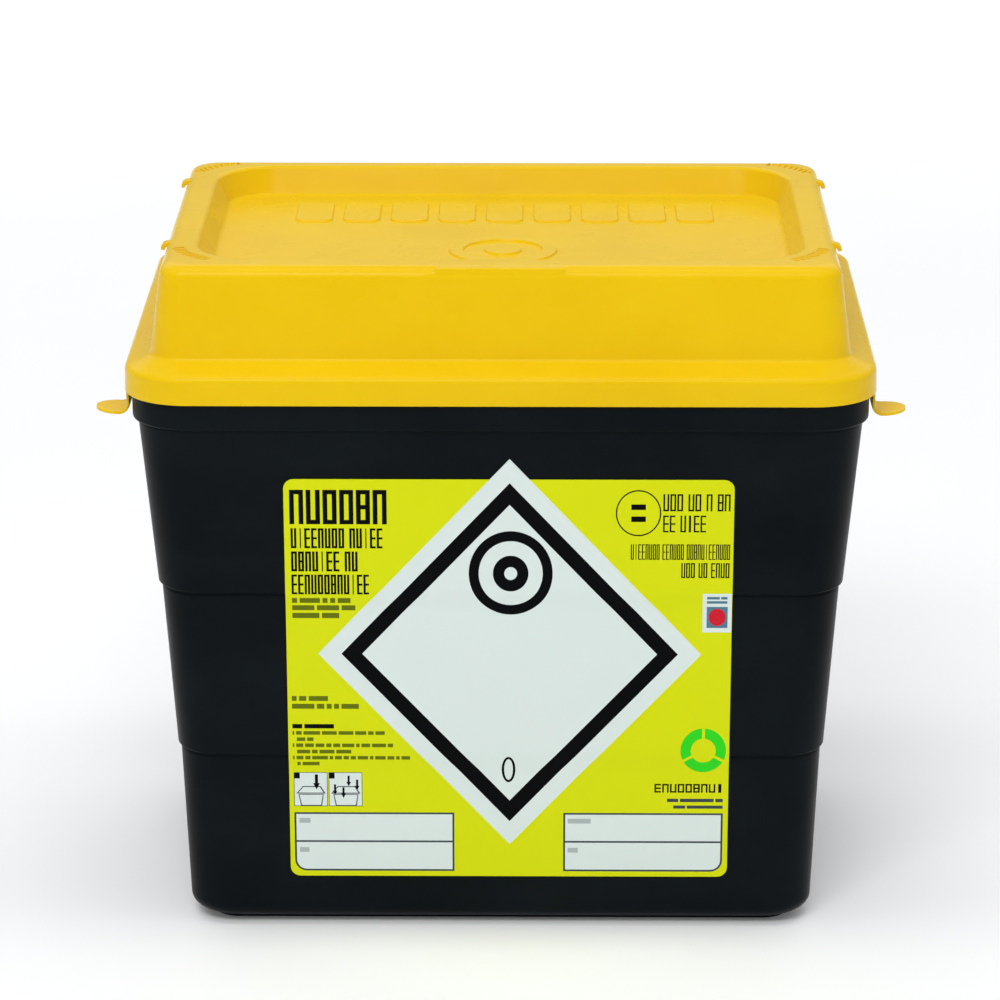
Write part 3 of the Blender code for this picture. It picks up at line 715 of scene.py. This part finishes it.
def press_marks():
    """Curved grooves at the corners of the top, where the lid is pressed down, and ribs across them."""
    grooves, ribs = bmesh.new(), bmesh.new()
    groove = ((-2.5, 0.4), (-2.3, 0.0), (-2.0, -MARK_DEPTH), (2.0, -MARK_DEPTH), (2.3, 0.0), (2.5, 0.4))
    rib_foot, lean = -MARK_DEPTH - 0.2, 0.5
    rib_profile = ((-1.6, rib_foot), (-1.2, -0.1), (1.2, -0.1), (1.6, rib_foot))
    for side in (-1.0, 1.0):
        for mark in MARK_ARCS:
            place = beside_arc(side, *mark)
            sections = []
            for step in range(13):
                along = MARK_HALF_LENGTH * (step / 6.0 - 1.0)
                sections.append([place(out, along, up) for out, up in groove])
            add_loft(grooves, sections)
            for number in range(RIB_COUNT):
                along = MARK_HALF_LENGTH * 0.86 * (2.0 * number / (RIB_COUNT - 1) - 1.0)
                rib = []
                for out in (-2.2, -1.2, 1.2, 2.2):
                    middle = along + lean * out
                    rib.append([place(out, middle + RIB_HALF_WIDTH * wide, up) for wide, up in rib_profile])
                add_loft(ribs, rib)
    return grooves, ribs


def build_lid():
    builder = bmesh.new()
    rings = lid_inner_rings() + lid_outer_rings()
    rows = add_loft(builder, [plan(*ring) for ring in rings], capped=False)
    builder.faces.new(rows[0])
    embossed_floor(builder, rows[-1])
    lid = new_mesh("lid", builder)
    for feature in (grip_lip(), hinge_clips(), handle_ears(), hook_lugs()):
        combine(lid, feature)
    grooves, ribs = press_marks()
    combine(lid, grooves, "DIFFERENCE")
    combine(lid, ribs)
    combine(lid, ear_holes(), "DIFFERENCE")
    finish_piece(lid, "lid", "lid_shell", [YELLOW])


# ---- small moulded parts

def rounded_section(half_width, half_thickness, power, steps):
    """A cross-section between a rectangle and an oval, as (across, deep) points."""
    points = []
    for step in range(steps):
        turn = 2.0 * math.pi * step / steps
        across, deep = math.cos(turn), math.sin(turn)
        points.append((
            math.copysign(abs(across) ** (2.0 / power), across) * half_width,
            math.copysign(abs(deep) ** (2.0 / power), deep) * half_thickness,
        ))
    return points


TAB_HALF_WIDTH = 8.25
TAB_HALF_THICKNESS = 0.7
TAB_FLARE = 3.4
TAB_PLATE_Z = -10.0
TAB_REACH = 11.7
TAB_BEND = 3.4
TAB_CURL = 0.5


def tab_stations():
    """Centre line of a tab seen along Y: (out, up, direction in degrees, half width)."""
    stations = []
    top = -0.3
    for step in range(7):
        turn = math.radians(90.0 * step / 6)
        drop = TAB_FLARE * (1.0 - math.cos(turn))
        flare = TAB_FLARE * (1.0 - math.sin(turn))
        stations.append((-TAB_HALF_THICKNESS, top - drop, -90.0, TAB_HALF_WIDTH + flare))
    for step in range(9):
        turn = 90.0 * step / 8
        out = -TAB_HALF_THICKNESS + TAB_BEND * (1.0 - math.cos(math.radians(turn)))
        up = TAB_PLATE_Z + TAB_BEND * (1.0 - math.sin(math.radians(turn)))
        stations.append((out, up, turn - 90.0, TAB_HALF_WIDTH))
    centre = TAB_REACH - TAB_HALF_WIDTH
    for step in range(1, 15):
        turn = math.radians(84.0 * step / 14)
        out = centre + TAB_HALF_WIDTH * math.sin(turn)
        curl = TAB_CURL * (out / TAB_REACH) ** 2
        lift = math.degrees(math.atan(2.0 * TAB_CURL * out / TAB_REACH ** 2))
        stations.append((out, TAB_PLATE_Z + curl, lift, TAB_HALF_WIDTH * math.cos(turn)))
    return stations


def build_tab(side_name):
    """A strap that hangs from the skirt, flared at its root, and curls out into a finger plate."""
    pivot = pivots[f"tab_{side_name}_flex"]
    side = math.copysign(1.0, pivot.x)
    builder = bmesh.new()
    sections = []
    for out, up, direction, half_width in tab_stations():
        turn = math.radians(direction)
        normal = Vector((-math.sin(turn), 0.0, math.cos(turn)))
        middle = Vector((out, 0.0, up))
        section = []
        for across, deep in rounded_section(half_width, TAB_HALF_THICKNESS, 5.0, 28):
            point = middle + Vector((0.0, across, 0.0)) + normal * deep
            section.append(Vector((side * point.x, point.y, point.z)) + pivot)
        sections.append(section)
    add_loft(builder, sections)
    tab = new_mesh(f"locate_tab_piece_{side_name}", builder)
    finish_piece(tab, f"tab_{side_name}", f"locate_tab_{side_name}", [YELLOW])


def build_catch(corner):
    """A tongue inside the rim, with a rounded nose towards the tub's wall and two back ribs."""
    pivot = pivots[f"catch_{corner}_flex"]
    side = math.copysign(1.0, pivot.x)
    place = along_y(side, pivot)
    builder = bmesh.new()
    tongue = [(0.0, 0.3), (1.4, 0.1), (1.4, -10.6), (2.2, -11.4), (2.75, -12.3), (2.7, -13.0)]
    tongue += [(2.3, -13.9), (1.5, -15.7), (0.0, -15.7)]
    add_prism(builder, tongue, -8.0, 8.0, place)
    soften(builder, 0.3)
    catch = new_mesh(f"catch_piece_{corner}", builder)
    ribs = bmesh.new()
    for centre in (-5.0, 5.0):
        rib = [(0.3, 0.0), (-1.0, -0.2), (-0.9, -2.5), (0.3, -12.0)]
        add_prism(ribs, rib, centre - 0.6, centre + 0.6, place)
    combine(catch, ribs)
    finish_piece(catch, f"catch_{corner}", f"corner_catch_{corner}", [YELLOW])


HANDLE_LEAN = math.radians(7.3)
HANDLE_PIVOT_X = 86.2
HANDLE_ARM = 22.8
HANDLE_BEND = 10.0


def handle_half():
    """Half of the bail: (x, height above the pivot, direction, half width, half thickness)."""
    stations = []
    for step in range(6):
        turn = math.radians(15.0 + 75.0 * step / 5)
        stations.append((HANDLE_PIVOT_X, -3.2 * math.cos(turn), 90.0, 3.3 * math.sin(turn), 2.5))
    stations.append((HANDLE_PIVOT_X, 4.0, 90.0, 3.3, 2.5))
    centre = (HANDLE_PIVOT_X - HANDLE_BEND, HANDLE_ARM - HANDLE_BEND)
    for step in range(13):
        turn = 90.0 * step / 12
        x, up = on_circle(centre, HANDLE_BEND, turn)
        stations.append((x, up, 90.0 + turn, 3.3, 2.5))
    for x in (70.0, 64.0, 60.0, 56.0, 52.0, 48.0, 44.0, 32.0, 16.0, 0.0):
        share = ease((62.0 - x) / 14.0)
        stations.append((x, HANDLE_ARM, 180.0, mix(3.3, 3.5, share), mix(2.5, 3.4, share)))
    return stations


def build_handle():
    half = handle_half()
    mirrored = [(-x, up, 360.0 - turn, wide, thick) for x, up, turn, wide, thick in reversed(half[:-1])]
    pivot = pivots["handle_swing"]
    lean = Matrix.Rotation(HANDLE_LEAN, 4, "X")
    builder = bmesh.new()
    sections = []
    for x, up, direction, half_width, half_thickness in half + mirrored:
        turn = math.radians(direction)
        normal = Vector((math.sin(turn), 0.0, -math.cos(turn)))
        section = []
        for across, deep in rounded_section(half_width, half_thickness, 3.2, 24):
            section.append(lean @ (Vector((x, deep, up)) + normal * across) + pivot)
        sections.append(section)
    add_loft(builder, sections)
    handle = new_mesh("bail_handle", builder)

    pins = bmesh.new()
    circle = circle_points((0.0, 0.0), BAR_RADIUS, 36)
    add_pair(pins, circle, HANDLE_PIVOT_X, EAR_X + EAR_THICKNESS - 0.1, across_x(HANDLE))
    soften(pins, 0.35, 60.0)
    combine(handle, pins)
    finish_piece(handle, "handle", "carry_handle", [YELLOW])


# ---- label

LABEL_WIDTH = label_high.x - label_low.x
LABEL_HEIGHT = 162.5

INKS = {
    "yellow": printed_film("film_yellow", linear(215, 223, 3), linear(222, 228, 40)),
    "pale": printed_film("film_pale", linear(219, 230, 226), linear(228, 234, 230)),
    "black": printed_film("film_black", linear(3, 5, 6), linear(16, 20, 21), gloss=0.045),
    "slate": printed_film("film_slate", linear(58, 68, 74), linear(84, 92, 96)),
    "fine": printed_film("film_fine_print", linear(98, 110, 6), linear(118, 130, 18)),
    "grey": printed_film("film_grey", linear(172, 182, 180), linear(186, 194, 191)),
    "green": printed_film("film_green", linear(45, 214, 30), linear(90, 220, 70)),
    "red": printed_film("film_red", linear(206, 24, 44), linear(214, 60, 74)),
    "blue": printed_film("film_blue", linear(78, 122, 142), linear(110, 146, 160)),
}
INK_ORDER = list(INKS)


def rectangle(left, bottom, right, top):
    return [(left, bottom), (right, bottom), (right, top), (left, top)]


def rounded_panel(left, bottom, right, top, radii):
    """A rectangle with a radius for each corner: bottom left, bottom right, top right, top left."""
    places = (
        (left, bottom, 1, 1, 180),
        (right, bottom, -1, 1, 270),
        (right, top, -1, -1, 0),
        (left, top, 1, -1, 90),
    )
    points = []
    for (x, y, step_x, step_y, start), radius in zip(places, radii):
        if radius:
            points += arc((x + step_x * radius, y + step_y * radius), radius, start, start + 90.0, 6)
        else:
            points.append((x, y))
    return points


def ellipse(centre, half_u, half_v, steps=64):
    circle = circle_points((0.0, 0.0), 1.0, steps)
    return [(centre[0] + x * half_u, centre[1] + y * half_v) for x, y in circle]


def diamond(centre, half_u, half_v):
    u, v = centre
    return [(u - half_u, v), (u, v - half_v), (u + half_u, v), (u, v + half_v)]


def glyph_cuts(kind, left, right, bottom, top, stroke):
    """The parts left open in one plain block, so that a row of blocks has the rhythm of print."""
    in_left, in_right = left + stroke, right - stroke
    if kind == "bar":
        return [rectangle(left, bottom, in_left, top), rectangle(in_right, bottom, right, top)]
    low = bottom if kind == "arch" else bottom + stroke
    high = top if kind == "cup" else top - stroke
    if kind in ("comb", "ladder"):
        end = right if kind == "comb" else in_right
        middle = (bottom + top) / 2.0
        return [rectangle(in_left, low, end, middle - stroke / 2.0),
                rectangle(in_left, middle + stroke / 2.0, end, high)]
    return [rectangle(in_left, low, in_right, high)]


GLYPH_KINDS = ("ring", "arch", "comb", "cup", "ladder", "bar", "arch", "ring", "cup", "comb")


def glyph_row(left, right, bottom, top, words, weight):
    """A line of plain blocks in words; the weight is the stroke's share of a block's width."""
    art = []
    slots = sum(words) + 0.6 * (len(words) - 1)
    pitch = (right - left) / (slots - 0.16)
    width = pitch * 0.84
    start, number = left, 0
    for length in words:
        for _ in range(length):
            kind = GLYPH_KINDS[(number * 7 + length) % len(GLYPH_KINDS)]
            art.append(("black", rectangle(start, bottom, start + width, top)))
            cuts = glyph_cuts(kind, start, start + width, bottom, top, width * weight)
            art += [("yellow", cut) for cut in cuts]
            start += pitch
            number += 1
        start += pitch * 0.6
    return art


def word_bars(ink, left, right, bottom, top, words):
    """A line of small print as one bar for each word."""
    art = []
    gap = (top - bottom) * 0.45
    share = (right - left - gap * (len(words) - 1)) / sum(words)
    start = left
    for length in words:
        art.append((ink, rectangle(start, bottom, start + length * share, top)))
        start += length * share + gap
    return art


def writing_box(left, right, round_left):
    """A pale box with two rows to write in, outlined, with one large lower corner."""
    bottom, top, middle, line, corner = 2.1, 26.4, 14.4, 0.75, 4.6
    outer = (corner, 0, 0, 0) if round_left else (0, corner, 0, 0)
    inner = tuple(radius and radius - line for radius in outer)
    art = [("slate", rounded_panel(left, bottom, right, top, outer))]
    art.append(("pale", rounded_panel(left + line, bottom + line, right - line, top - line, inner)))
    art.append(("slate", rectangle(left + line, middle - line / 2.0, right - line, middle + line / 2.0)))
    return art


def arrow_down(centre_u, tip_v, half_width, length):
    stem = half_width * 0.45
    neck = tip_v + length * 0.42
    return [
        ("black", [(centre_u - half_width, neck), (centre_u, tip_v), (centre_u + half_width, neck)]),
        ("black", rectangle(centre_u - stem, neck - 0.2, centre_u + stem, tip_v + length)),
    ]


# Arrows of the two small pictures: (offset, tip, half width, length)
ONE_ARROW = ((8.6, 6.9, 1.3, 6.2),)
FOUR_ARROWS = ((2.4, 4.6, 0.9, 4.4), (5.6, 3.4, 0.9, 4.4), (7.6, 8.2, 0.9, 4.4), (10.8, 6.6, 0.9, 4.4))


def picture_box(left, arrows):
    """A small pale square with a plain outline drawing of a lidded box and one or more arrows."""
    bottom, size, height, line = 28.9, 12.8, 14.0, 0.25
    right, top = left + size, bottom + height
    art = [("slate", rectangle(left, bottom, right, top))]
    art.append(("pale", rectangle(left + line, bottom + line, right - line, top - line)))
    art.append(("black", rectangle(left + line, top - 2.6, left + 2.3, top - line)))
    tub = ((2.6, 0.25), (size - 2.2, 0.25), (size - 1.5, 5.0), (1.7, 5.0))
    tub_inside = ((3.0, 0.5), (size - 2.6, 0.5), (size - 1.9, 4.7), (2.1, 4.7))
    lid = ((0.9, 5.2), (size - 0.8, 5.2), (size - 2.6, 8.3), (3.4, 8.3))
    lid_inside = ((1.7, 5.6), (size - 1.6, 5.6), (size - 2.9, 7.9), (3.6, 7.9))
    for ink, outline in (("slate", tub), ("pale", tub_inside), ("slate", lid), ("pale", lid_inside)):
        art.append((ink, [(left + u, bottom + v) for u, v in outline]))
    for offset, tip, *size_of_arrow in arrows:
        art += arrow_down(left + offset, bottom + tip, *size_of_arrow)
    return art


def ring_art(paper, centre, outer, inner, steps=64):
    """A black oval ring; outer and inner are half sizes."""
    return [("black", ellipse(centre, *outer, steps)), (paper, ellipse(centre, *inner, steps))]


def diamond_art():
    """The pale diamond with its black band, a ring and disc at its top, and an oval at its foot."""
    centre, emblem, foot = (83.5, 92.0), (83.9, 125.0), (83.1, 44.4)
    bands = (("pale", 71.7, 78.6), ("black", 63.0, 69.1), ("pale", 55.2, 60.5))
    art = [(ink, diamond(centre, half_u, half_v)) for ink, half_u, half_v in bands]
    art += ring_art("pale", emblem, (15.6, 17.0), (11.9, 13.0))
    art.append(("black", ellipse(emblem, 6.6, 7.2)))
    art.append(("pale", ellipse(emblem, 2.4, 2.6, 40)))
    return art + ring_art("pale", foot, (2.6, 5.4), (1.65, 4.4), 40)


def left_art():
    """Heading, notes, small print and pictures."""
    art = glyph_row(2.1, 38.1, 144.6, 158.3, (6,), 0.34)
    for right, bottom, words in ((36.4, 135.0, (8, 5)), (27.1, 125.7, (7, 2)), (31.2, 116.4, (12,))):
        art += glyph_row(2.4, right, bottom, bottom + 8.0, words, 0.40)
    notes = ((24.2, 112.7, (2, 8, 2, 2, 5)), (26.0, 109.6, (8, 8, 5)), (19.9, 106.4, (11, 7)))
    for right, bottom, words in notes:
        art += word_bars("fine", 2.4, right, bottom, bottom + 2.1, words)
    for right, bottom, words in ((15.2, 72.7, (2, 3, 8)), (26.8, 69.5, (9, 3, 2, 2, 7))):
        art += word_bars("fine", 1.6, right, bottom, bottom + 2.0, words)
    art += word_bars("black", 1.6, 17.3, 61.4, 63.2, (4, 12))
    small_print = (
        (1.6, 36.4, 58.8, (1, 3, 9, 8, 8, 6, 3, 5)),
        (3.2, 9.5, 56.2, (4, 3)),
        (1.6, 39.5, 53.7, (1, 4, 5, 5, 3, 4, 7, 2, 5, 8, 3)),
        (3.2, 23.7, 51.1, (7, 3, 8, 8)),
        (1.6, 45.9, 48.5, (1, 4, 3, 9, 2, 4, 3, 3, 6, 2, 6, 4, 2, 5)),
        (3.2, 11.6, 45.9, (2, 10)),
    )
    for left, right, bottom, words in small_print:
        art += word_bars("fine", left, right, bottom, bottom + 1.5, words)
    return art + picture_box(1.7, ONE_ARROW) + picture_box(14.9, FOUR_ARROWS)


def writing_art():
    """The two boxes to write in, and the small captions in them."""
    art = writing_box(1.7, 62.5, True) + writing_box(103.9, 164.5, False)
    captions = ((3.6, 7.8, 22.0), (3.6, 7.2, 9.9), (105.6, 114.3, 22.0), (105.6, 109.5, 9.9))
    for left, right, bottom in captions:
        art += word_bars("grey", left, right, bottom, bottom + 2.0, (1,))
    return art


def code_art():
    """A ring with two bars and the rows beside and under it."""
    art = ring_art("yellow", (131.1, 149.3), (8.4, 9.2), (7.9, 8.65))
    for bottom in (150.6, 145.8):
        art.append(("black", rectangle(128.4, bottom, 133.8, bottom + 2.2)))
    art += glyph_row(140.2, 165.0, 150.1, 156.9, (3, 2, 1, 2), 0.30)
    art += glyph_row(140.2, 156.1, 141.7, 148.4, (2, 4), 0.30)
    art += glyph_row(128.4, 165.2, 130.7, 136.9, (8, 6, 12), 0.37)
    return art + glyph_row(147.2, 165.1, 123.4, 129.4, (3, 2, 4), 0.35)


def tile_art():
    """A pale tile with two lines of print over a blue square and a red disc."""
    art = [("pale", rectangle(155.4, 101.0, 166.2, 117.0))]
    art += word_bars("blue", 157.0, 164.6, 114.6, 115.7, (4, 2))
    art += word_bars("blue", 157.0, 164.6, 112.8, 113.9, (7,))
    art.append(("blue", rectangle(157.0, 102.8, 164.8, 111.4)))
    art.append(("red", ellipse((160.9, 107.1), 3.2, 3.5, 40)))
    return art


def green_ring_art():
    """A green ring cut into three by narrow gaps."""
    centre = (156.6, 52.6)
    art = [("green", ellipse(centre, 8.6, 9.2)), ("yellow", ellipse(centre, 4.7, 5.0, 48))]
    for turn in (90.0, 210.0, 330.0):
        near, far = on_circle(centre, 4.0, turn), on_circle(centre, 9.6, turn)
        side_u, side_v = on_circle((0.0, 0.0), 0.55, turn + 90.0)
        corners = ((near, -1.0), (far, -1.0), (far, 1.0), (near, 1.0))
        art.append(("yellow", [(u + sign * side_u, v + sign * side_v) for (u, v), sign in corners]))
    return art


def label_art():
    """The print from back to front, in millimetres from the label's lower left corner."""
    art = diamond_art() + left_art() + writing_art() + code_art() + tile_art() + green_ring_art()
    art += glyph_row(138.4, 164.4, 34.9, 38.5, (9,), 0.26)
    art += word_bars("slate", 143.2, 164.4, 31.0, 32.4, (3, 9, 2))
    return art + word_bars("slate", 145.6, 164.4, 28.3, 29.6, (3, 9))


def wall_inset(height):
    """Inset of the tub's outer face, with each step bridged as a film laid over it would."""
    over, under = 2.6, 6.5
    for upper, lower in ((STAGES[0], STAGES[1]), (STAGES[1], STAGES[2])):
        high, low = upper[1][1] + over, lower[0][1] - under
        if low <= height <= high:
            share = ease((height - low) / (high - low))
            return mix(on_line(*lower[:2], height), on_line(*upper[:2], height), share)
    for top, foot, _ in STAGES:
        if height > foot[1]:
            return on_line(top, foot, height)
    return STAGES[2][1][0]


def film_levels():
    """Heights at which the film bends over the tub's steps."""
    return [foot[1] - 0.6 - 7.0 + 0.75 * index for _, foot, _ in STAGES[:2] for index in range(14)]


def build_label():
    """One film whose printed areas are faces of their own, laid over the stepped front wall."""
    panel = rounded_panel(0.0, 0.0, LABEL_WIDTH, LABEL_HEIGHT, (LABEL_CORNER,) * 4)
    shapes = [("yellow", panel)] + label_art()
    points, polygons, edges = [], [], []
    for _, outline in shapes:
        add_outline(points, polygons, outline)
    for level in film_levels():
        first = len(points)
        height = level - label_low.z
        points += [Vector((-2.0, height)), Vector((LABEL_WIDTH + 2.0, height))]
        edges.append((first, first + 1))
    found = delaunay_2d_cdt(points, edges, polygons, 0, 1e-5, True)
    flat_points, _, faces, _, _, origin_faces = found

    builder = bmesh.new()
    verts = []
    for point in flat_points:
        height = label_low.z + point.y
        depth = RIM_FRONT + wall_inset(height) - FILM_GAP
        verts.append(builder.verts.new((label_low.x + point.x, depth, height)))
    for face, origins in zip(faces, origin_faces):
        if origins:
            made = builder.faces.new([verts[index] for index in face])
            made.material_index = INK_ORDER.index(shapes[max(origins)][0])
    loose = [vert for vert in builder.verts if not vert.link_faces]
    bmesh.ops.delete(builder, geom=loose, context="VERTS")

    film = new_mesh("printed_label", builder)
    if film.data.polygons[0].normal.y > 0.0:
        film.data.flip_normals()
    solid = film.modifiers.new("thickness", "SOLIDIFY")
    solid.thickness = FILM_THICKNESS * MM
    solid.offset = 1.0
    apply_modifiers(film)
    finish_piece(film, "base", "front_label", INKS.values())


# ---- studio and camera

HORIZON_LIGHT = 0.27
OVERHEAD_LIGHT = 0.80


def build_floor():
    """A pale floor that glows a little, more so beyond the lights' reach, to stay pale all round."""
    nodes = Nodes("studio_floor")
    cloud = nodes.remap(nodes.noise(3.0, 3.0), 0.3, 0.7, 0.0, 1.0)
    colour = nodes.blend(cloud, linear(249, 249, 250), linear(252, 252, 252))
    away = nodes.add("ShaderNodeVectorMath", {0: nodes.coordinates}, operation="LENGTH").outputs["Value"]
    glow = nodes.remap(away, 0.9, 3.5, 0.06, 0.36)
    floor_material = nodes.shade(
        Base_Color=colour, Roughness=0.9, Specular_IOR_Level=0.1,
        Emission_Color=linear(252, 252, 252), Emission_Strength=glow,
    )
    builder = bmesh.new()
    half = 40000.0
    outline = rectangle(-half, -half, half, half)
    builder.faces.new([builder.verts.new((x, y, -0.05)) for x, y in outline])
    floor = new_mesh("studio_floor", builder)
    floor.data.materials.append(floor_material)


def build_world():
    """A soft surround that grows brighter from the horizon to overhead."""
    world = bpy.data.worlds.new("studio")
    world.use_nodes = True
    tree = world.node_tree
    direction = tree.nodes.new("ShaderNodeTexCoord").outputs["Generated"]
    split = tree.nodes.new("ShaderNodeSeparateXYZ")
    ramp = tree.nodes.new("ShaderNodeMapRange")
    ramp.inputs["To Min"].default_value = HORIZON_LIGHT
    ramp.inputs["To Max"].default_value = OVERHEAD_LIGHT
    tree.links.new(direction, split.inputs["Vector"])
    tree.links.new(split.outputs["Z"], ramp.inputs["Value"])
    background = tree.nodes["Background"]
    background.inputs["Color"].default_value = (0.97, 0.985, 1.0, 1.0)
    tree.links.new(ramp.outputs["Result"], background.inputs["Strength"])
    bpy.context.scene.world = world


def add_light(name, location, target, size, power):
    data = bpy.data.lights.new(name, "AREA")
    data.shape = "RECTANGLE"
    data.size, data.size_y = size
    data.energy = power
    light = new_object(name, data)
    light.location = location
    light.rotation_euler = (Vector(target) - Vector(location)).to_track_quat("-Z", "Y").to_euler()


def build_lights():
    middle = (0.0, 0.0, 0.14)
    add_light("front_softbox", (-0.35, -1.55, 1.7), middle, (1.1, 0.6), 16.2)
    add_light("top_strip", (0.0, -0.2, 1.5), middle, (1.3, 0.3), 4.0)
    add_light("back_wash", (0.0, 2.9, 1.9), (0.0, 2.9, 0.0), (5.0, 2.4), 34.0)
    add_light("right_strip", (1.5, -0.5, 0.6), middle, (0.3, 1.2), 0.45)


def build_camera():
    """A long lens 1.54 m in front of the lid, looking down at it."""
    data = bpy.data.cameras.new("camera")
    data.lens = 158.5
    data.sensor_width = 36.0
    data.clip_end = 50.0
    camera = new_object("camera", data)
    distance, pitch, heading = 1.542, math.radians(17.5), math.radians(0.45)
    aim = Vector((0.0, lid_low.y * MM, 0.1775))
    back = Vector((math.sin(heading), -math.cos(heading), math.tan(pitch)))
    camera.location = aim + back * distance
    camera.rotation_euler = (-back).to_track_quat("-Z", "Y").to_euler()
    bpy.context.scene.camera = camera


build_tub()
build_lid()
build_label()
for tab_side in ("left", "right"):
    build_tab(tab_side)
for catch_corner in CATCH_CORNERS:
    build_catch(catch_corner)
build_handle()
build_floor()
build_world()
build_lights()
build_camera()
bpy.context.scene.view_settings.view_transform = "Standard"
